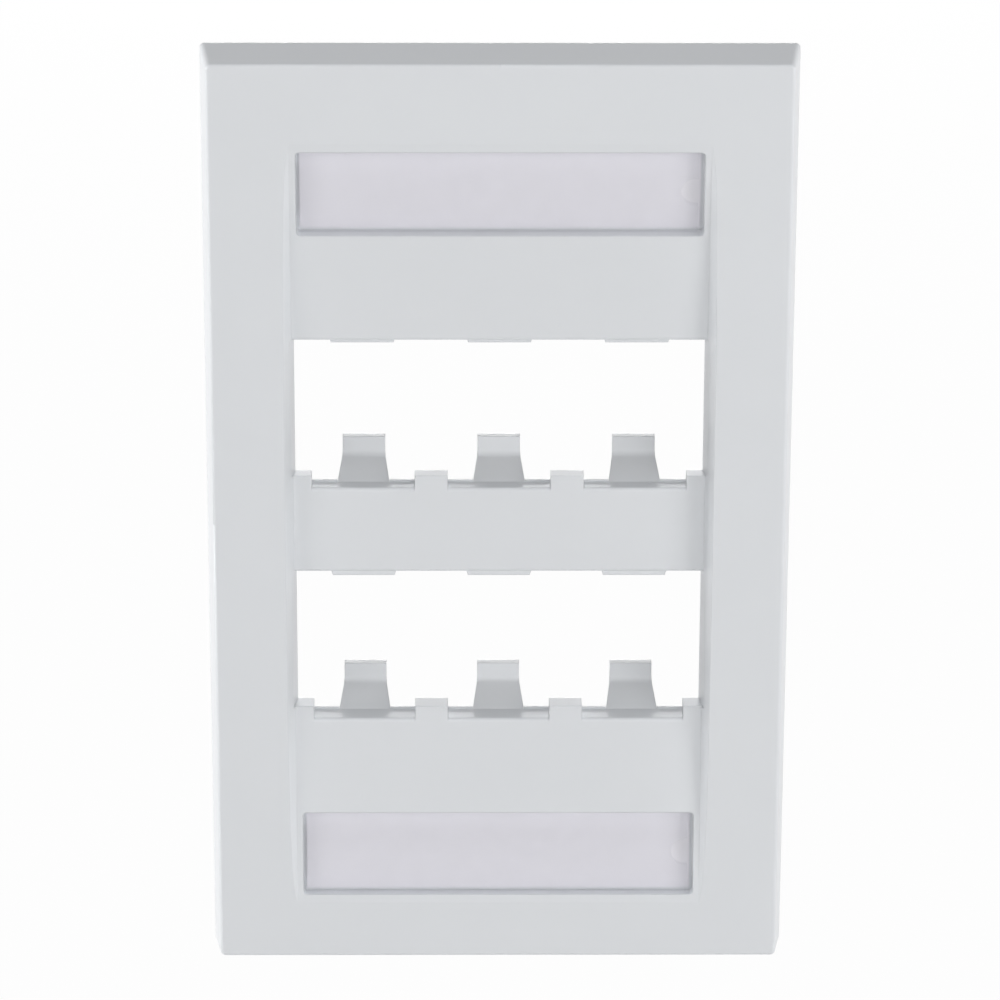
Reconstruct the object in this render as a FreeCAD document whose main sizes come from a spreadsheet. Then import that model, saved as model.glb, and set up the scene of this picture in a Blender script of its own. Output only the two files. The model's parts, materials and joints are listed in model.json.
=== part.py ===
"""Keystone faceplate: a single-gang wall plate with six module bays and two label windows.

Frame: origin at the centre of the plate on the wall plane, +X to the right seen from the
front, +Y into the wall, +Z up. Lengths are millimetres. "Depth" is measured from the front
face towards the wall, so the wall plane lies at a depth of plate_depth.
"""
import FreeCAD, Part
import math
import os
import Sketcher

SIZES = [
    ("plate_width", 69.85, "rim outline against the wall"),
    ("plate_height", 114.3, "rim outline against the wall"),
    ("plate_depth", 6.6, "wall plane to front face"),
    ("side_draft", 0.95, "how far each side leans in from rim to front"),
    ("corner_radius", 0.65, "upright corners of the outline"),
    ("edge_radius", 0.4, "rounding round the front face"),
    ("border_wall", 2.0, "front wall of the border"),
    ("rim_wall", 1.8, "side walls at the rim"),
    ("box_wall", 1.6, "walls round the channel and the pockets"),
    ("rib_wall", 1.2, "ribs in the hollow back"),
    ("rib_height", 2.4, "ribs, below the front wall"),
    ("screw_spacing", 83.3, "between the two box screws"),
    ("screw_bore", 3.9, "clearance bore"),
    ("head_diameter", 8.8, "countersink mouth"),
    ("head_depth", 2.3, "countersink mouth, behind the front face"),
    ("head_angle", 82, "countersink, degrees"),
    ("boss_diameter", 8.5, "screw bosses that reach the wall"),
    ("channel_width", 49.0, "foot of the channel's side slopes"),
    ("channel_margin", 0.8, "ends of the scooped channel beyond the pockets"),
    ("channel_depth", 3.0, "deepest line of the channel"),
    ("channel_slope", 0.9, "width of each side slope"),
    ("floor_wall", 2.0, "floor behind the deepest line"),
    ("bay_pitch", 16.2, "from module to module"),
    ("row_pitch", 29.3, "from row to row"),
    ("row_top", 22.25, "top edge of the upper window"),
    ("window_height", 18.7, "from top edge to shelf"),
    ("window_draft", 8, "lean of the window's ends, degrees"),
    ("block_width", 3.93, "blocks between the bays"),
    ("block_height", 1.6, "blocks above the shelf"),
    ("ledge_width", 7.4, "catch ledge under the top edge"),
    ("ledge_flare", 0.2, "slant of the ledge's ends"),
    ("ledge_drop", 0.6, "ledge below the top edge"),
    ("ledge_depth", 1.5, "ledge, from the floor's rear"),
    ("shelf_reach", 0.8, "rail behind the floor"),
    ("rail_height", 1.5, "rail below the shelf"),
    ("lip_height", 0.22, "lip at the rear of the shelf"),
    ("lip_wall", 0.4, "lip"),
    ("finger_width", 6.2, "latch finger at its root"),
    ("tip_width", 5.1, "latch finger at its tip"),
    ("finger_wall", 1.1, "latch finger"),
    ("ramp_run", 4.4, "ramp of the finger, rearwards"),
    ("ramp_rise", 2.05, "ramp of the finger, upwards"),
    ("tip_rise", 2.1, "upright of the finger"),
    ("tip_lean", 0.2, "rearward lean of the upright"),
    ("bend_radius", 1.0, "inside of the finger's bend"),
    ("window_edge", 0.45, "rounding of the windows' long front edges"),
    ("pocket_width", 47.55, "label pockets"),
    ("pocket_height", 10.45, "label pockets"),
    ("pocket_radius", 0.5, "corners of the pockets"),
    ("top_drop", 0.9, "upper pocket's centre, below its screw"),
    ("bottom_drop", 1.45, "lower pocket's centre, below its screw"),
    ("label_wall", 0.2, "paper label"),
    ("label_gap", 0.4, "label to pocket wall"),
    ("cover_inset", 0.7, "cover behind the scooped face"),
    ("cover_wall", 1.0, "clear cover"),
    ("cover_seat", 0.05, "air between label and cover"),
    ("cover_gap", 0.2, "cover to pocket wall"),
    ("pry_gap", 0.7, "cover to pocket wall at the notched end"),
    ("notch_width", 3.4, "pry notch"),
    ("notch_depth", 2.0, "pry notch"),
    ("tongue_reach", 0.8, "tongue at the cover's hinged end"),
    ("tongue_height", 6.0, "tongue"),
    ("tongue_wall", 0.6, "tongue"),
    ("tongue_inset", 0.25, "tongue behind the cover's face"),
    ("slot_gap", 0.1, "tongue to its slot, in depth"),
    ("slot_play", 0.25, "tongue to its slot, along and up"),
]
BAYS = 3

# OVERLAP sinks a pad into the piece that carries it; REACH starts a cut in front of the face.
OVERLAP = 1.0
REACH = 0.5

document = FreeCAD.newDocument("keystone_faceplate")
sheet = document.addObject("Spreadsheet::Sheet", "Sizes")
for row, (alias, number, note) in enumerate(SIZES, start=1):
    sheet.set(f"A{row}", alias)
    sheet.set(f"B{row}", str(number))
    sheet.set(f"C{row}", note)
    sheet.setAlias(f"B{row}", alias)
document.recompute()

# Levels that several features share, as expressions of the sheet.
# In a sketch on the XZ plane, the attachment offset is the distance in front of the wall.
FLOOR_BACK = "(Sizes.plate_depth - Sizes.channel_depth - Sizes.floor_wall)"
HALF_CHANNEL = "(Sizes.channel_width / 2)"
HALF_POCKET = "(Sizes.pocket_width / 2)"
TOP_POCKET = "(Sizes.screw_spacing / 2 - Sizes.top_drop)"
BOTTOM_POCKET = "(-Sizes.screw_spacing / 2 - Sizes.bottom_drop)"

# The channel is an arc from beyond one pocket to beyond the other.
CHANNEL_CENTRE = f"(({TOP_POCKET} + {BOTTOM_POCKET}) / 2)"
POCKET_REACH = f"(({TOP_POCKET} - {BOTTOM_POCKET}) / 2)"
HALF_CHORD = f"({POCKET_REACH} + Sizes.pocket_height / 2 + Sizes.channel_margin)"
CHANNEL_RADIUS = f"(({HALF_CHORD} ^ 2 + Sizes.channel_depth ^ 2) / (2 * Sizes.channel_depth))"

# Each pocket's floor is parallel to the arc at its centre: the upper one leans forwards at
# its top edge, the lower one at its bottom edge. The third value is the side of the lean.
POCKET_LEAN = f"asin({POCKET_REACH} / {CHANNEL_RADIUS})"
STACK = "(Sizes.label_wall + Sizes.cover_seat + Sizes.cover_wall)"
POCKET_FLOOR = (f"(Sizes.plate_depth - Sizes.channel_depth"
                f" + {CHANNEL_RADIUS} * (1 - cos({POCKET_LEAN})) - Sizes.cover_inset - {STACK})")
POCKETS = [("top", TOP_POCKET, 1), ("bottom", BOTTOM_POCKET, -1)]


def value(expression):
    """The number that an expression of the sheet stands for."""
    result = sheet.evalExpression(expression)
    return float(getattr(result, "Value", result))


def new_body(name):
    body = document.addObject("PartDesign::Body", name)
    body.Label = name
    return body


def origin_part(body, role):
    """One plane or axis of the body's own origin."""
    return next(item for item in body.Origin.OriginFeatures if item.Role == role)


def new_sketch(body, name, role, offset="0"):
    """A sketch parallel to an origin plane, moved along its normal."""
    sketch = body.newObject("Sketcher::SketchObject", name)
    sketch.AttachmentSupport = [(origin_part(body, role), "")]
    sketch.MapMode = "FlatFace"
    sketch.setExpression("AttachmentOffset.Base.z", offset)
    return sketch


def drive(sketch, kind, references, name, expression):
    """Add a dimension and bind it to an expression."""
    index = sketch.addConstraint(Sketcher.Constraint(kind, *references, value(expression)))
    sketch.renameConstraint(index, name)
    sketch.setExpression(f"Constraints.{name}", expression)


def pin_point(sketch, geometry, end, name, across, up):
    """Place a point of the sketch by its two coordinates."""
    drive(sketch, "DistanceX", (-1, 1, geometry, end), f"{name}_across", across)
    drive(sketch, "DistanceY", (-1, 1, geometry, end), f"{name}_up", up)


def draw_polygon(sketch, corners):
    """Closed outline with straight edges; each corner is a pair of expressions."""
    first = sketch.GeometryCount
    points = [FreeCAD.Vector(value(across), value(up), 0) for across, up in corners]
    for index, point in enumerate(points):
        sketch.addGeometry(Part.LineSegment(point, points[(index + 1) % len(points)]))
    for index, (across, up) in enumerate(corners):
        following = first + (index + 1) % len(corners)
        sketch.addConstraint(Sketcher.Constraint("Coincident", first + index, 2, following, 1))
        pin_point(sketch, first + index, 1, f"corner_{first + index}", across, up)


def draw_rectangle(sketch, left, right, low, high):
    draw_polygon(sketch, [(left, low), (right, low), (right, high), (left, high)])


def draw_circle(sketch, across, up, diameter):
    centre = FreeCAD.Vector(value(across), value(up), 0)
    index = sketch.addGeometry(Part.Circle(centre, FreeCAD.Vector(0, 0, 1), value(diameter) / 2))
    drive(sketch, "Diameter", (index,), f"diameter_{index}", diameter)
    pin_point(sketch, index, 3, f"centre_{index}", across, up)


def draw_bow(sketch, line, half, centre, radius):
    """A chord in front of the face, closed by an arc that dips behind it.

    Across is the depth direction (Y) and up is the height (Z). The chord stands at `line`
    and is `half` long to each side of `centre`.
    """
    level = value(line)
    low = FreeCAD.Vector(level, value(centre) - value(half), 0)
    high = FreeCAD.Vector(level, value(centre) + value(half), 0)
    reach = value(radius)
    sagitta = reach - math.sqrt(reach ** 2 - value(half) ** 2)
    bottom = FreeCAD.Vector(level + sagitta, value(centre), 0)
    sketch.addGeometry(Part.LineSegment(high, low))
    sketch.addGeometry(Part.Arc(low, bottom, high))
    sketch.addConstraint(Sketcher.Constraint("Coincident", 0, 2, 1, 1))
    sketch.addConstraint(Sketcher.Constraint("Coincident", 0, 1, 1, 2))
    pin_point(sketch, 0, 1, "high_end", line, f"{centre} + {half}")
    pin_point(sketch, 0, 2, "low_end", line, f"{centre} - {half}")
    drive(sketch, "Radius", (1,), "bow_radius", radius)


def pad(body, sketch, name, length, symmetric=False):
    """Add material along the sketch's normal; on the XZ plane that is towards the front."""
    feature = body.newObject("PartDesign::Pad", name)
    feature.Profile = sketch
    feature.SideType = "Symmetric" if symmetric else "One side"
    feature.setExpression("Length", length)
    document.recompute()
    return feature


def pocket(body, sketch, name, length, symmetric=False, forward=False):
    """Cut against the sketch's normal: towards the wall, or forwards when asked."""
    feature = body.newObject("PartDesign::Pocket", name)
    feature.Profile = sketch
    feature.SideType = "Symmetric" if symmetric else "One side"
    feature.Reversed = forward
    feature.setExpression("Length", length)
    document.recompute()
    return feature


def loft(body, kind, name, profile, section):
    """A straight loft between two sketches; kind is Additive or Subtractive."""
    feature = body.newObject(f"PartDesign::{kind}Loft", name)
    feature.Profile = profile
    feature.Sections = [section]
    feature.Ruled = True
    document.recompute()
    return feature


def repeat(body, features, name, count, pitch):
    """Repeat features to the right, `count` times in all."""
    pattern = body.newObject("PartDesign::LinearPattern", name)
    pattern.Originals = features
    pattern.Direction = (origin_part(body, "X_Axis"), [""])
    pattern.Mode = "Spacing"
    pattern.Occurrences = count
    pattern.setExpression("Offset", pitch)
    body.Tip = pattern
    document.recompute()
    return pattern


def mirror(body, features, name, role):
    """Mirror features in one of the origin planes."""
    pattern = body.newObject("PartDesign::Mirrored", name)
    pattern.Originals = features
    pattern.MirrorPlane = (origin_part(body, role), [""])
    body.Tip = pattern
    document.recompute()
    return pattern


def round_edges(body, name, radius, wanted):
    """Fillet the edges of the body's present shape that pass the test."""
    base = body.Tip
    names = [f"Edge{index}" for index, edge in enumerate(base.Shape.Edges, start=1) if wanted(edge)]
    feature = body.newObject("PartDesign::Fillet", name)
    feature.Base = (base, names)
    feature.setExpression("Radius", radius)
    document.recompute()
    return feature


def near(number, target, slack=0.02):
    return abs(number - target) < slack


def runs_along(edge, axis):
    """Whether an edge is parallel to an axis."""
    box = edge.BoundBox
    lengths = {"X": box.XLength, "Y": box.YLength, "Z": box.ZLength}
    return all((near(length, 0)) != (name == axis) for name, length in lengths.items())


def plate_shell(body):
    """Drafted outline, rounded front, hollow back and the box behind the channel."""
    rim = new_sketch(body, "rim_outline", "XZ_Plane")
    half_width = "Sizes.plate_width / 2"
    half_height = "Sizes.plate_height / 2"
    draw_rectangle(rim, f"-{half_width}", half_width, f"-{half_height}", half_height)
    face = new_sketch(body, "face_outline", "XZ_Plane", "Sizes.plate_depth")
    face_width = f"({half_width} - Sizes.side_draft)"
    face_height = f"({half_height} - Sizes.side_draft)"
    draw_rectangle(face, f"-{face_width}", face_width, f"-{face_height}", face_height)
    loft(body, "Additive", "shell", rim, face)

    front = -value("Sizes.plate_depth")
    round_edges(body, "upright_corners", "Sizes.corner_radius",
                lambda edge: edge.BoundBox.YLength > value("Sizes.plate_depth") / 2)
    round_edges(body, "front_edge", "Sizes.edge_radius",
                lambda edge: near(edge.BoundBox.YMax, front))

    hollow = new_sketch(body, "hollow_outline", "XZ_Plane")
    inner_width = f"({half_width} - Sizes.rim_wall)"
    inner_height = f"({half_height} - Sizes.rim_wall)"
    draw_rectangle(hollow, f"-{inner_width}", inner_width, f"-{inner_height}", inner_height)
    pocket(body, hollow, "hollow_back", "Sizes.plate_depth - Sizes.border_wall", forward=True)

    box = new_sketch(body, "box_outline", "XZ_Plane", FLOOR_BACK)
    box_width = f"({HALF_CHANNEL} + Sizes.channel_slope + Sizes.box_wall)"
    margin = "Sizes.pocket_height / 2 + Sizes.box_wall"
    draw_rectangle(box, f"-{box_width}", box_width,
                   f"{BOTTOM_POCKET} - {margin}", f"{TOP_POCKET} + {margin}")
    pad(body, box, "channel_box",
        "Sizes.channel_depth + Sizes.floor_wall - Sizes.border_wall / 2")

    bosses = new_sketch(body, "boss_circles", "XZ_Plane")
    for side in ("", "-"):
        draw_circle(bosses, "0", f"{side}Sizes.screw_spacing / 2", "Sizes.boss_diameter")
    pad(body, bosses, "screw_bosses", f"{FLOOR_BACK} + Sizes.floor_wall / 2")
    return box_width, inner_width


def back_ribs(body, box_width, inner_width):
    """Thin ribs that tie the box to the long side walls."""
    ribs = new_sketch(body, "rib_outlines", "XZ_Plane",
                      "Sizes.plate_depth - Sizes.border_wall - Sizes.rib_height")
    for share in (-1, 0, 1):
        height = f"({CHANNEL_CENTRE} + {share} * Sizes.row_pitch)"
        draw_rectangle(ribs, f"{box_width} - {OVERLAP}", f"{inner_width} + Sizes.rim_wall / 4",
                       f"{height} - Sizes.rib_wall / 2", f"{height} + Sizes.rib_wall / 2")
    right = pad(body, ribs, "ribs_right", "Sizes.rib_height + Sizes.border_wall / 2")
    mirror(body, [right], "ribs_left", "YZ_Plane")


def module_row(body, tag, top):
    """One window with its three bays: blocks, catch ledges, rail and latch fingers."""
    shelf = f"({top} - Sizes.window_height)"

    # The window's ends lean in towards the rear; its top edge and shelf are level.
    half_row = f"({BAYS} / 2 * Sizes.bay_pitch)"
    lean = "tan(Sizes.window_draft * 1 deg)"
    wide = f"({half_row} + (Sizes.channel_depth + Sizes.floor_wall) * {lean})"
    narrow = f"({half_row} - {FLOOR_BACK} * {lean})"
    mouth = new_sketch(body, f"window_mouth_{tag}", "XZ_Plane", "Sizes.plate_depth")
    draw_rectangle(mouth, f"-{wide}", wide, shelf, top)
    throat = new_sketch(body, f"window_throat_{tag}", "XZ_Plane")
    draw_rectangle(throat, f"-{narrow}", narrow, shelf, top)
    loft(body, "Subtractive", f"window_{tag}", mouth, throat)

    # A block stands at each end of each bay, as thick as the floor.
    block = new_sketch(body, f"block_outline_{tag}", "XZ_Plane", FLOOR_BACK)
    draw_rectangle(block, f"-{half_row} - Sizes.block_width / 2",
                   f"-{half_row} + Sizes.block_width / 2", f"{shelf} - {OVERLAP}",
                   f"{shelf} + Sizes.block_height")
    first_block = pad(body, block, f"block_{tag}", "Sizes.channel_depth + Sizes.floor_wall")
    repeat(body, [first_block], f"blocks_{tag}", BAYS + 1, "Sizes.bay_pitch")

    # The catch ledge hangs at the rear of each bay's top edge.
    ledge = new_sketch(body, f"ledge_outline_{tag}", "XZ_Plane", FLOOR_BACK)
    tip = "Sizes.ledge_width / 2"
    root = "(Sizes.ledge_width / 2 + Sizes.ledge_flare)"
    first_bay = f"-{(BAYS - 1) / 2} * Sizes.bay_pitch"
    draw_polygon(ledge, [
        (f"{first_bay} - {tip}", f"{top} - Sizes.ledge_drop"),
        (f"{first_bay} + {tip}", f"{top} - Sizes.ledge_drop"),
        (f"{first_bay} + {root}", top),
        (f"{first_bay} + {root}", f"{top} + Sizes.ledge_drop"),
        (f"{first_bay} - {root}", f"{top} + Sizes.ledge_drop"),
        (f"{first_bay} - {root}", top),
    ])
    first_ledge = pad(body, ledge, f"ledge_{tag}", "Sizes.ledge_depth")
    repeat(body, [first_ledge], f"ledges_{tag}", BAYS, "Sizes.bay_pitch")
    return shelf, first_bay


def scooped_channel(body):
    """The shallow cylindrical scoop, with side slopes that die out with its depth."""
    depth = f"(Sizes.channel_depth + {REACH})"
    chord = f"sqrt(2 * {CHANNEL_RADIUS} * {depth} - {depth} ^ 2)"
    line = f"(-Sizes.plate_depth - {REACH})"

    profile = new_sketch(body, "channel_profile", "YZ_Plane")
    draw_bow(profile, line, chord, CHANNEL_CENTRE, CHANNEL_RADIUS)
    pocket(body, profile, "channel", "Sizes.channel_width", symmetric=True)

    foot = new_sketch(body, "slope_foot", "YZ_Plane", HALF_CHANNEL)
    draw_bow(foot, line, chord, CHANNEL_CENTRE, CHANNEL_RADIUS)
    flat = f"(({chord} ^ 2 + {REACH} ^ 2) / (2 * {REACH}))"
    crest = new_sketch(body, "slope_crest", "YZ_Plane", f"{HALF_CHANNEL} + Sizes.channel_slope")
    draw_bow(crest, line, chord, CHANNEL_CENTRE, flat)
    right = loft(body, "Subtractive", "slope_right", foot, crest)
    mirror(body, [right], "slope_left", "YZ_Plane")


def latch_fingers(body, tag, shelf, first_bay):
    """The rail behind the shelf, and a latch finger with two lips in each bay."""
    half_row = f"({BAYS} / 2 * Sizes.bay_pitch)"
    rail = new_sketch(body, f"rail_outline_{tag}", "XZ_Plane", f"{FLOOR_BACK} - Sizes.shelf_reach")
    draw_rectangle(rail, f"-{half_row}", half_row, f"{shelf} - Sizes.rail_height", shelf)
    pad(body, rail, f"rail_{tag}", "Sizes.shelf_reach + Sizes.floor_wall / 2")

    lips = new_sketch(body, f"lip_outlines_{tag}", "XZ_Plane", f"{FLOOR_BACK} - Sizes.shelf_reach")
    bay_edge = "(Sizes.bay_pitch - Sizes.block_width) / 2"
    for side in ("-", "+"):
        ends = [f"{first_bay} {side} Sizes.finger_width / 2", f"{first_bay} {side} {bay_edge}"]
        if side == "-":
            ends.reverse()
        draw_rectangle(lips, *ends, f"{shelf} - Sizes.lip_height", f"{shelf} + Sizes.lip_height")
    first_lips = pad(body, lips, f"lips_{tag}", "Sizes.lip_wall")

    # The ramp narrows from the rail to the bend; the upright keeps the narrow width.
    slope = "(Sizes.ramp_rise / Sizes.ramp_run)"
    drop = f"(Sizes.finger_wall * sqrt(1 + {slope} ^ 2))"
    start = f"({FLOOR_BACK} - Sizes.shelf_reach + Sizes.lip_wall)"
    root = new_sketch(body, f"ramp_root_{tag}", "XZ_Plane", start)
    draw_rectangle(root, f"{first_bay} - Sizes.finger_width / 2",
                   f"{first_bay} + Sizes.finger_width / 2", f"{shelf} - {drop}", shelf)
    bend = new_sketch(body, f"ramp_bend_{tag}", "XZ_Plane", f"{start} - Sizes.ramp_run")
    draw_rectangle(bend, f"{first_bay} - Sizes.tip_width / 2",
                   f"{first_bay} + Sizes.tip_width / 2",
                   f"{shelf} + Sizes.ramp_rise - {drop}", f"{shelf} + Sizes.ramp_rise")
    ramp = loft(body, "Additive", f"ramp_{tag}", root, bend)

    crease = f"(Sizes.ramp_run - {start})"
    rise = "Sizes.ramp_rise"
    side_view = new_sketch(body, f"upright_outline_{tag}", "YZ_Plane", first_bay)
    draw_polygon(side_view, [
        (crease, f"{shelf} + {rise}"),
        (crease, f"{shelf} + {rise} - {drop}"),
        (f"{crease} + Sizes.finger_wall",
         f"{shelf} + {rise} - {drop} + Sizes.finger_wall * {slope}"),
        (f"{crease} + Sizes.tip_lean + Sizes.finger_wall", f"{shelf} + {rise} + Sizes.tip_rise"),
        (f"{crease} + Sizes.tip_lean", f"{shelf} + {rise} + Sizes.tip_rise"),
    ])
    upright = pad(body, side_view, f"upright_{tag}", "Sizes.tip_width", symmetric=True)
    repeat(body, [first_lips, ramp, upright], f"fingers_{tag}", BAYS, "Sizes.bay_pitch")


def leaning(side):
    """A placement that leans forwards at its top (side 1) or at its bottom (side -1)."""
    return FreeCAD.Placement(FreeCAD.Vector(), FreeCAD.Rotation(FreeCAD.Vector(side, 0, 0), 1))


def pocket_sketch(body, name, centre, side, height="0"):
    """A sketch parallel to a pocket's floor, `height` in front of the middle of it."""
    forward = f"{POCKET_FLOOR} + {height} * cos({POCKET_LEAN})"
    sketch = new_sketch(body, name, "XZ_Plane", forward)
    sketch.AttachmentOffset = leaning(side)
    sketch.setExpression("AttachmentOffset.Base.z", forward)
    sketch.setExpression("AttachmentOffset.Base.y",
                         f"{centre} - {side} * {height} * sin({POCKET_LEAN})")
    sketch.setExpression("AttachmentOffset.Rotation.Angle", POCKET_LEAN)
    return sketch


def label_pockets(body):
    """Two leaning pockets, each with the slot that takes its cover's tongue."""
    half_height = "Sizes.pocket_height / 2"
    for tag, centre, side in POCKETS:
        outline = pocket_sketch(body, f"pocket_outline_{tag}", centre, side)
        draw_rectangle(outline, f"-{HALF_POCKET}", HALF_POCKET, f"-{half_height}", half_height)
        pocket(body, outline, f"label_pocket_{tag}", "Sizes.plate_depth", forward=True)

    end = value(HALF_POCKET)
    round_edges(body, "pocket_corners", "Sizes.pocket_radius",
                lambda edge: near(abs(edge.CenterOfMass.x), end)
                and near(edge.BoundBox.XLength, 0)
                and edge.BoundBox.YLength > edge.BoundBox.ZLength)

    slot_depth = f"({STACK} - Sizes.tongue_inset + Sizes.slot_gap)"
    half_slot = "(Sizes.tongue_height / 2 + Sizes.slot_play)"
    slot_end = f"(-{HALF_POCKET} + Sizes.cover_gap - Sizes.tongue_reach - Sizes.slot_play)"
    for tag, centre, side in POCKETS:
        slot = pocket_sketch(body, f"slot_outline_{tag}", centre, side, slot_depth)
        draw_rectangle(slot, slot_end, f"-{HALF_POCKET} + Sizes.pocket_radius",
                       f"-{half_slot}", half_slot)
        pocket(body, slot, f"tongue_slot_{tag}", slot_depth)


def screw_holes(body):
    """Countersunk clearance holes through the pocket floors."""
    centres = new_sketch(body, "screw_centres", "XZ_Plane", "Sizes.plate_depth - Sizes.head_depth")
    for side in ("", "-"):
        draw_circle(centres, "0", f"{side}Sizes.screw_spacing / 2", "Sizes.screw_bore")
    document.recompute()
    hole = body.newObject("PartDesign::Hole", "screw_holes")
    hole.Profile = centres
    hole.DepthType = "ThroughAll"
    hole.HoleCutType = "Countersink"
    hole.setExpression("Diameter", "Sizes.screw_bore")
    hole.setExpression("HoleCutDiameter", "Sizes.head_diameter")
    hole.setExpression("HoleCutCountersinkAngle", "Sizes.head_angle")
    document.recompute()


def soft_edges(body, shelves, tops):
    """Round the fingers' bends and the edges that a hand meets."""
    crease_y = value(f"Sizes.ramp_run - ({FLOOR_BACK} - Sizes.shelf_reach + Sizes.lip_wall)")
    bends = [value(f"{shelf} + Sizes.ramp_rise") for shelf in shelves]
    round_edges(body, "finger_bends", "Sizes.bend_radius",
                lambda edge: runs_along(edge, "X") and near(edge.CenterOfMass.y, crease_y)
                and any(near(edge.CenterOfMass.z, level) for level in bends))

    levels = [value(level) for level in tops + shelves]
    ledge_front = -value(f"{FLOOR_BACK} + Sizes.ledge_depth")
    round_edges(body, "window_edges", "Sizes.window_edge",
                lambda edge: runs_along(edge, "X") and edge.CenterOfMass.y < ledge_front
                and not near(edge.CenterOfMass.y, ledge_front)
                and any(near(edge.CenterOfMass.z, level) for level in levels))


def build_faceplate():
    body = new_body("faceplate")
    box_width, inner_width = plate_shell(body)
    back_ribs(body, box_width, inner_width)
    tops = ["Sizes.row_top", "(Sizes.row_top - Sizes.row_pitch)"]
    rows = [module_row(body, tag, top) for tag, top in zip(("upper", "lower"), tops)]
    scooped_channel(body)
    for tag, (shelf, first_bay) in zip(("upper", "lower"), rows):
        latch_fingers(body, tag, shelf, first_bay)
    label_pockets(body)
    screw_holes(body)
    soft_edges(body, [shelf for shelf, first_bay in rows], tops)
    return body


def seat_in_pocket(body, centre, side):
    """Place a body whose own origin is the middle of a pocket's floor."""
    body.Placement = leaning(side)
    body.setExpression("Placement.Base.y", f"-{POCKET_FLOOR}")
    body.setExpression("Placement.Base.z", centre)
    body.setExpression("Placement.Rotation.Angle", POCKET_LEAN)


def build_label(name, centre, side):
    """A paper strip on the pocket's floor."""
    body = new_body(name)
    outline = new_sketch(body, f"{name}_outline", "XZ_Plane")
    half_width = f"({HALF_POCKET} - Sizes.label_gap)"
    half_height = "(Sizes.pocket_height / 2 - Sizes.label_gap)"
    draw_rectangle(outline, f"-{half_width}", half_width, f"-{half_height}", half_height)
    pad(body, outline, f"{name}_sheet", "Sizes.label_wall")
    seat_in_pocket(body, centre, side)
    return body


def build_cover(name, centre, side):
    """A clear cover over the label: tongue at the left end, pry notch at the right."""
    body = new_body(name)
    left = f"(-{HALF_POCKET} + Sizes.cover_gap)"
    right = f"({HALF_POCKET} - Sizes.pry_gap)"
    half_height = "(Sizes.pocket_height / 2 - Sizes.cover_gap)"
    outline = new_sketch(body, f"{name}_outline", "XZ_Plane", f"{STACK} - Sizes.cover_wall")
    draw_rectangle(outline, left, right, f"-{half_height}", half_height)
    pad(body, outline, f"{name}_plate", "Sizes.cover_wall")
    round_edges(body, f"{name}_corners", "Sizes.pocket_radius - Sizes.cover_gap",
                lambda edge: runs_along(edge, "Y"))

    tongue_back = f"({STACK} - Sizes.tongue_inset - Sizes.tongue_wall)"
    tongue = new_sketch(body, f"{name}_tongue_outline", "XZ_Plane", tongue_back)
    draw_rectangle(tongue, f"{left} - Sizes.tongue_reach", f"{left} + Sizes.tongue_reach",
                   "-Sizes.tongue_height / 2", "Sizes.tongue_height / 2")
    pad(body, tongue, f"{name}_tongue", "Sizes.tongue_wall")

    notch = new_sketch(body, f"{name}_notch_circle", "XZ_Plane", STACK)
    draw_circle(notch, f"{right} - Sizes.notch_depth + Sizes.notch_width / 2", "0",
                "Sizes.notch_width")
    pocket(body, notch, f"{name}_notch", "Sizes.cover_wall")
    seat_in_pocket(body, centre, side)
    return body


bodies = [build_faceplate()]
for tag, centre, side in POCKETS:
    bodies.append(build_label(f"label_{tag}", centre, side))
    bodies.append(build_cover(f"cover_{tag}", centre, side))
document.recompute()

for item in document.Objects:
    if "Invalid" in item.State or "Error" in item.State:
        raise RuntimeError(f"{item.Label} failed to recompute: {item.State}")
for body in bodies:
    if body.Shape.isNull() or not body.Shape.isValid():
        raise RuntimeError(f"{body.Label} has no valid shape")

os.makedirs("parts", exist_ok=True)
for body in bodies:
    body.Shape.exportStep(f"parts/{body.Label}.step")
    print(body.Label, f"{len(body.Shape.Solids)} solid, {body.Shape.Volume:.1f} mm3")
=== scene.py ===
# %% [markdown]
# # A keystone faceplate
#
# The plate is one white moulding with six module bays, and at each end a paper label sits
# under a clear cover. The solids come from the construction model, so their forms are
# already true, but for one short piece of a pocket's floor. What is left to do here is that
# piece, the plastic and paper of each solid, a soft light and the camera.

# %% Load the frame
import bmesh
import bpy
import json
import math
from mathutils import Matrix, Vector


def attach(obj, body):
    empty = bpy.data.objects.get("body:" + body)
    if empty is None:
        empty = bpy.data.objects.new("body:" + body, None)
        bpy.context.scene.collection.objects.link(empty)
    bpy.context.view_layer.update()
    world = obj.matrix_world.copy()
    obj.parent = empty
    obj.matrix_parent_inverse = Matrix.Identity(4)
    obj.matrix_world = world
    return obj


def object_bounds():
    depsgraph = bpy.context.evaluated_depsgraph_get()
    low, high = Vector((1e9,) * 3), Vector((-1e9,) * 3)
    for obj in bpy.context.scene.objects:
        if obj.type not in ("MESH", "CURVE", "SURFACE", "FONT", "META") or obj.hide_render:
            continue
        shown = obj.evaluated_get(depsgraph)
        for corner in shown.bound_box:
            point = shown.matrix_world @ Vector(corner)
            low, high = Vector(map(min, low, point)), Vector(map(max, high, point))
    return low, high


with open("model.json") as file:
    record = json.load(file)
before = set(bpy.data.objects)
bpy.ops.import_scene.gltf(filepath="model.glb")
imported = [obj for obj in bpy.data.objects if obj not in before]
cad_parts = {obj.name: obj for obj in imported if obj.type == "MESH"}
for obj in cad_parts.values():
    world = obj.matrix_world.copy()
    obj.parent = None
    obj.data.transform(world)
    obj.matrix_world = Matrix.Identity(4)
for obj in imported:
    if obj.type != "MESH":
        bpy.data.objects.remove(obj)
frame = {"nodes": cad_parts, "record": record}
cad_low, cad_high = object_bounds()
MM = 0.001
print("nodes:", ", ".join(sorted(frame["nodes"])))
print("size in mm:", [round(side / MM, 2) for side in cad_high - cad_low])

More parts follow.
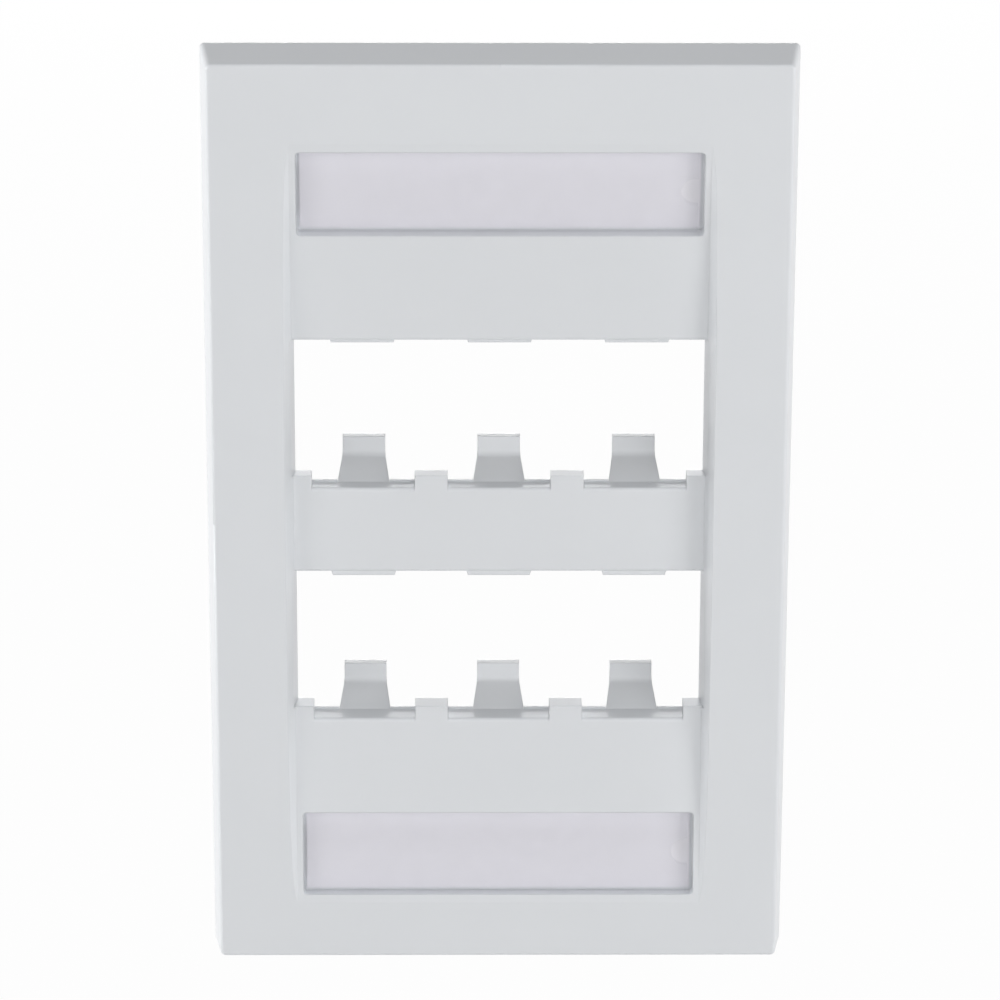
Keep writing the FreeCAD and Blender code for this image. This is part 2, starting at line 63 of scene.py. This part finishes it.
# %% [markdown]
# ## Writing materials as sums
#
# A procedural finish is mostly arithmetic on noise. Dragging Math nodes about hides that
# arithmetic, so a small class wraps an output socket: a sum or product with a wire in it
# makes the Math node by itself. One method, `add`, makes every other kind of node.


# %% A wire that does its own arithmetic
class Wire:
    """An output of a node tree. Sums, products and `1 - wire` add their own Math nodes."""

    def __init__(self, tree, socket=None):
        self.tree = tree
        self.socket = socket

    def add(self, kind, settings=(), inputs=(), output=0):
        """Add a node: its settings first, then the values or links of its sockets."""
        node = self.tree.nodes.new(kind)
        for name, setting in dict(settings).items():
            setattr(node, name, setting)
        for name, given in dict(inputs).items():
            if isinstance(given, Wire):
                self.tree.links.new(given.socket, node.inputs[name])
            else:
                node.inputs[name].default_value = given
        return Wire(self.tree, node.outputs[output] if node.outputs else None)

    def maths(self, operation, first, second):
        return self.add("ShaderNodeMath", {"operation": operation}, {0: first, 1: second})

    def __add__(self, other):
        return self.maths("ADD", self, other)

    def __mul__(self, other):
        return self.maths("MULTIPLY", self, other)

    def __rsub__(self, other):
        return self.maths("SUBTRACT", other, self)

    __radd__ = __add__
    __rmul__ = __mul__


def new_material(name):
    """An empty material, and a wire to start building its tree from."""
    material = bpy.data.materials.new(name)
    material.use_nodes = True
    material.node_tree.nodes.clear()
    return material, Wire(material.node_tree)


def noise(start, size, detail=2.0):
    """Noise on the piece's own coordinates, with blotches about `size` metres across."""
    place = start.add("ShaderNodeTexCoord", output="Object")
    return start.add("ShaderNodeTexNoise", inputs={
        "Vector": place, "Scale": 1 / size, "Detail": detail})


def tint(start, factor, dark, light):
    """A colour between two, picked by a factor from 0 to 1."""
    return start.add("ShaderNodeMix", {"data_type": "RGBA"}, {
        "Factor": factor, 6: (*dark, 1), 7: (*light, 1)}, output=2)


print("shader helpers ready")

# %% [markdown]
# ## White moulded plastic
#
# The plate is a satin white thermoplastic, moulded in a tool with a very fine spark-eroded
# surface. From arm's length it looks even; close up the grain breaks up the highlights. So
# the colour hardly varies, the roughness varies a little, and a faint bump carries the
# grain. A bevel node rounds the normals along the sharp edges, because no moulded edge is
# truly sharp and each one catches a thin line of light.


# %% The moulding's material
def moulded_plastic():
    material, start = new_material("white_moulded_plastic")
    grain = noise(start, 0.12 * MM, detail=3.0)
    cloud = noise(start, 9 * MM)
    colour = tint(start, cloud, (0.775, 0.792, 0.812), (0.795, 0.811, 0.83))
    softened = start.add("ShaderNodeBevel", {"samples": 6}, {"Radius": 0.2 * MM})
    bumped = start.add("ShaderNodeBump", inputs={
        "Strength": 0.25, "Distance": 0.004 * MM, "Height": grain, "Normal": softened})
    surface = start.add("ShaderNodeBsdfPrincipled", inputs={
        "Base Color": colour, "Roughness": 0.3 + grain * 0.12, "Normal": bumped,
        "IOR": 1.5, "Specular IOR Level": 0.5})
    start.add("ShaderNodeOutputMaterial", inputs={"Surface": surface})
    return material


plastic = moulded_plastic()
print("made", plastic.name)

# %% [markdown]
# ## Paper labels
#
# Each label is a plain strip of office paper. The paper is rougher than the plastic round
# it and a touch more violet, as brightened paper is, with short fibres that show as a soft
# mottle.


# %% The labels' material
def label_paper():
    material, start = new_material("label_paper")
    fibre = noise(start, 0.35 * MM, detail=5.0)
    colour = tint(start, fibre, (0.83, 0.817, 0.857), (0.85, 0.837, 0.873))
    bumped = start.add("ShaderNodeBump", inputs={
        "Strength": 0.3, "Distance": 0.01 * MM, "Height": fibre})
    surface = start.add("ShaderNodeBsdfPrincipled", inputs={
        "Base Color": colour, "Roughness": 0.8 + fibre * 0.15, "Normal": bumped,
        "Specular IOR Level": 0.3})
    start.add("ShaderNodeOutputMaterial", inputs={"Surface": surface})
    return material


paper = label_paper()
print("made", paper.name)

# %% [markdown]
# ## Clear covers
#
# The covers are polished clear plastic, only 1 mm thick. A true glass shader would
# bend the view at every edge and draw the thin sheets with dark outlines, so here the view
# goes straight through. Each face adds a little white haze, as handled clear plastic has,
# and each outer face its share of mirror gloss. The Fresnel node gives that share: a few
# percent face on, and more at a slant. Light reaches the label through the cover in the
# same way, without a hard shadow.


# %% The covers' material
def clear_plastic():
    material, start = new_material("clear_cover_plastic")
    wear = noise(start, 2 * MM, detail=4.0)
    gloss = start.add("ShaderNodeBsdfPrincipled", inputs={
        "Base Color": (0.95, 0.95, 0.96, 1), "Metallic": 1.0, "Roughness": 0.03 + wear * 0.05})
    through = start.add("ShaderNodeBsdfTransparent", inputs={"Color": (0.995, 0.995, 1, 1)})
    haze = start.add("ShaderNodeBsdfPrincipled", inputs={
        "Base Color": (0.93, 0.93, 0.95, 1), "Roughness": 0.5 + wear * 0.2})
    hazy = start.add("ShaderNodeMixShader", inputs={0: wear * 0.04 + 0.02, 1: through, 2: haze})
    outside = 1 - start.add("ShaderNodeNewGeometry", output="Backfacing")
    share = start.add("ShaderNodeFresnel", inputs={"IOR": 1.49}) * outside
    mixed = start.add("ShaderNodeMixShader", inputs={0: share, 1: hazy, 2: gloss})
    start.add("ShaderNodeOutputMaterial", inputs={"Surface": mixed})
    return material


clear = clear_plastic()
print("made", clear.name)

# %% [markdown]
# ## Dressing the solids
#
# The solids keep their meshes. Each one only gets its finish, by the record's slot for it,
# so a scene that repaints a slot finds every piece of it.


# %% Give each node its finish
FINISHES = {"moulding": plastic, "label": paper, "cover": clear}
for part in frame["record"]["subparts"]:
    node = frame["nodes"][part["node"]]
    node.data.materials.clear()
    node.data.materials.append(FINISHES[part["material_slot"]])
    print(part["node"], "->", node.data.materials[0].name)

# %% [markdown]
# ## The end of the lower pocket's floor
#
# On the real moulding the floor behind the lower label is closed right up to the pocket's
# lower wall. The solid's floor stops 1.4 mm short of that wall, so one small piece carries
# it on. Its outline is the side view of the box behind the floor: a face is drawn from six
# points and extruded across the plate. From the front only a sliver below the label shows;
# from behind it is the lower end of the box.


# %% Close the floor below the lower label
# From the solid: the floor's lean, its centre, half the pocket's height and the level where
# the floor stops; then the box behind it, by its lower side, back, front and half width.
POCKET_LEAN = math.radians(6.257)
FLOOR_MIDDLE = Vector((0, -3.941, -43.1)) * MM
HALF_POCKET = 5.225 * MM
FLOOR_END = -46.725 * MM
BOX_LOW = -49.925 * MM
BOX_BACK = -1.6 * MM
BORDER_BACK = -4.6 * MM
HALF_BOX = 27.0 * MM


def floor_end_outline():
    """Six points of the left end: along the leaning floor, its wall and round the box."""
    slant = math.tan(POCKET_LEAN)
    start = FLOOR_MIDDLE.y + (FLOOR_END - FLOOR_MIDDLE.z) * slant
    down = Vector((0, -math.sin(POCKET_LEAN), -math.cos(POCKET_LEAN)))
    foot = FLOOR_MIDDLE + down * HALF_POCKET
    wall = foot.z + (foot.y - BORDER_BACK) * slant
    side = [(BOX_BACK, FLOOR_END), (start, FLOOR_END), (foot.y, foot.z),
            (BORDER_BACK, wall), (BORDER_BACK, BOX_LOW), (BOX_BACK, BOX_LOW)]
    return [Vector((-HALF_BOX, depth, height)) for depth, height in side]


def floor_end():
    shape = bmesh.new()
    outline = shape.faces.new([shape.verts.new(point) for point in floor_end_outline()])
    grown = bmesh.ops.extrude_face_region(shape, geom=[outline])["geom"]
    moved = [item for item in grown if isinstance(item, bmesh.types.BMVert)]
    bmesh.ops.translate(shape, verts=moved, vec=(2 * HALF_BOX, 0, 0))
    bmesh.ops.recalc_face_normals(shape, faces=shape.faces)
    mesh = bpy.data.meshes.new("pocket_floor_end")
    shape.to_mesh(mesh)
    shape.free()
    piece = bpy.data.objects.new("pocket_floor_end", mesh)
    bpy.context.scene.collection.objects.link(piece)
    piece.data.materials.append(plastic)
    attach(piece, "plate")
    return piece


closed = floor_end()
print(closed.name, "size in mm:", [round(side / MM, 2) for side in closed.dimensions])

# %% [markdown]
# ## Floor and surroundings
#
# The plate is shown by itself on white. The floor and the world look white to the camera
# and in reflections, but they light the plate only gently, so the white plastic keeps its
# shading instead of burning out. The floor lies some way below the plate and is a little
# less than fully white, so a soft shadow can still show on it.


# %% Floor and world
WHITE = (1, 1, 1, 1)
FLOOR_DROP = 120 * MM
FLOOR_REACH = 4000 * MM
FLOOR_GREY = (0.8, 0.8, 0.8, 1)
FLOOR_GLOW = 0.97
SKY_LIGHT = 0.06


def seen_directly(start):
    """1 for camera, mirror and see-through rays; 0 for the rays that carry soft light."""
    camera = start.add("ShaderNodeLightPath", output="Is Camera Ray")
    glossy = start.add("ShaderNodeLightPath", output="Is Glossy Ray")
    through = start.add("ShaderNodeLightPath", output="Is Transmission Ray")
    return start.maths("MINIMUM", camera + glossy + through, 1.0)


def heading(azimuth, elevation):
    """Unit vector from the plate towards an azimuth (positive to the right) and elevation."""
    turn, rise = math.radians(azimuth), math.radians(elevation)
    return Vector((math.sin(turn) * math.cos(rise), -math.cos(turn) * math.cos(rise),
                   math.sin(rise)))


def white_floor(height):
    bpy.ops.mesh.primitive_plane_add(size=FLOOR_REACH, location=(0, 0, height))
    floor = bpy.context.object
    floor.name = "floor"
    material, start = new_material("floor_white")
    matt = start.add("ShaderNodeBsdfDiffuse", inputs={"Color": FLOOR_GREY})
    glow = start.add("ShaderNodeEmission", inputs={"Color": WHITE, "Strength": 1.0})
    share = seen_directly(start) * FLOOR_GLOW
    mixed = start.add("ShaderNodeMixShader", inputs={0: share, 1: matt, 2: glow})
    start.add("ShaderNodeOutputMaterial", inputs={"Surface": mixed})
    floor.data.materials.append(material)
    return floor


def white_world():
    world = bpy.data.worlds.new("studio")
    bpy.context.scene.world = world
    world.use_nodes = True
    world.node_tree.nodes.clear()
    start = Wire(world.node_tree)
    soft = start.add("ShaderNodeBackground", inputs={"Color": WHITE, "Strength": SKY_LIGHT})
    seen = start.add("ShaderNodeBackground", inputs={"Color": WHITE, "Strength": 1.0})
    mixed = start.add("ShaderNodeMixShader", inputs={0: seen_directly(start), 1: soft, 2: seen})
    start.add("ShaderNodeOutputWorld", inputs={"Surface": mixed})


white_floor(cad_low.z - FLOOR_DROP)
white_world()
print("floor at", round((cad_low.z - FLOOR_DROP) / MM), "mm")

# %% [markdown]
# ## Studio light
#
# A key and two soft lamps, one at each side, light the scooped face from the front; the
# right one is the stronger. A slightly blue lamp high above picks out the faces that look
# up, and a weak one high behind lights the latch fingers through the windows. One straight
# behind lights the hollow back alone. Two small lamps square to the side edges give those
# their bright line: small and square on, they can't shine through the windows onto the
# channel's slopes.


# %% Set the lamps
def soft_lamp(name, azimuth, elevation, distance, side, power, colour=(1, 1, 1)):
    """A square lamp that faces the plate; azimuth 0 is straight in front, positive to the right."""
    towards = heading(azimuth, elevation)
    data = bpy.data.lights.new(name, "AREA")
    data.size = side
    data.energy = power
    data.color = colour
    lamp = bpy.data.objects.new(name, data)
    bpy.context.scene.collection.objects.link(lamp)
    lamp.location = towards * distance
    lamp.rotation_euler = towards.to_track_quat("Z", "Y").to_euler()
    return lamp


soft_lamp("key", azimuth=6, elevation=20, distance=1.2, side=1.0, power=3.5)
soft_lamp("left_front", azimuth=-50, elevation=5, distance=1.2, side=0.6, power=2.8)
soft_lamp("right_front", azimuth=50, elevation=5, distance=1.2, side=0.6, power=5.0)
soft_lamp("above", azimuth=0, elevation=79, distance=1.2, side=0.4, power=2.75,
          colour=(0.93, 0.96, 1.0))
soft_lamp("high_behind", azimuth=180, elevation=55, distance=1.2, side=0.4, power=0.45)
soft_lamp("straight_behind", azimuth=180, elevation=5, distance=1.2, side=0.4, power=3.6)
soft_lamp("left_edge", azimuth=-90, elevation=5, distance=1.0, side=0.1, power=5.2)
soft_lamp("right_edge", azimuth=90, elevation=5, distance=1.0, side=0.1, power=2.2)
print("lamps:", len(bpy.data.lights))

# %% [markdown]
# ## Camera
#
# The view is that of a long lens from in front and above: the plate stands upright, so its
# sides lean together towards the bottom. The camera looks along `forward` at the aim, from
# the view distance, and the roll turns its right and upright directions a little.


# %% Set the camera
VIEW_PITCH = math.radians(19.663)
VIEW_YAW = math.radians(0.5535)
VIEW_ROLL = math.radians(0.1748)
VIEW_DISTANCE = 580.5 * MM
VIEW_AIM = Vector((0.14, -0.2, 0.86)) * MM
LENS = 174.19

forward = Vector((math.sin(VIEW_YAW) * math.cos(VIEW_PITCH),
                  math.cos(VIEW_YAW) * math.cos(VIEW_PITCH), -math.sin(VIEW_PITCH)))
level = Vector((math.cos(VIEW_YAW), -math.sin(VIEW_YAW), 0))
upright = level.cross(forward)
right = level * math.cos(VIEW_ROLL) + upright * math.sin(VIEW_ROLL)
above = upright * math.cos(VIEW_ROLL) - level * math.sin(VIEW_ROLL)

camera = bpy.data.objects.new("camera", bpy.data.cameras.new("camera"))
bpy.context.scene.collection.objects.link(camera)
camera.data.lens = LENS
turned = Matrix((right, above, -forward)).transposed().to_4x4()
camera.matrix_world = Matrix.Translation(VIEW_AIM - forward * VIEW_DISTANCE) @ turned
bpy.context.scene.camera = camera
bpy.context.scene.view_settings.view_transform = "Standard"
print("camera at", [round(value / MM, 1) for value in camera.matrix_world.translation])
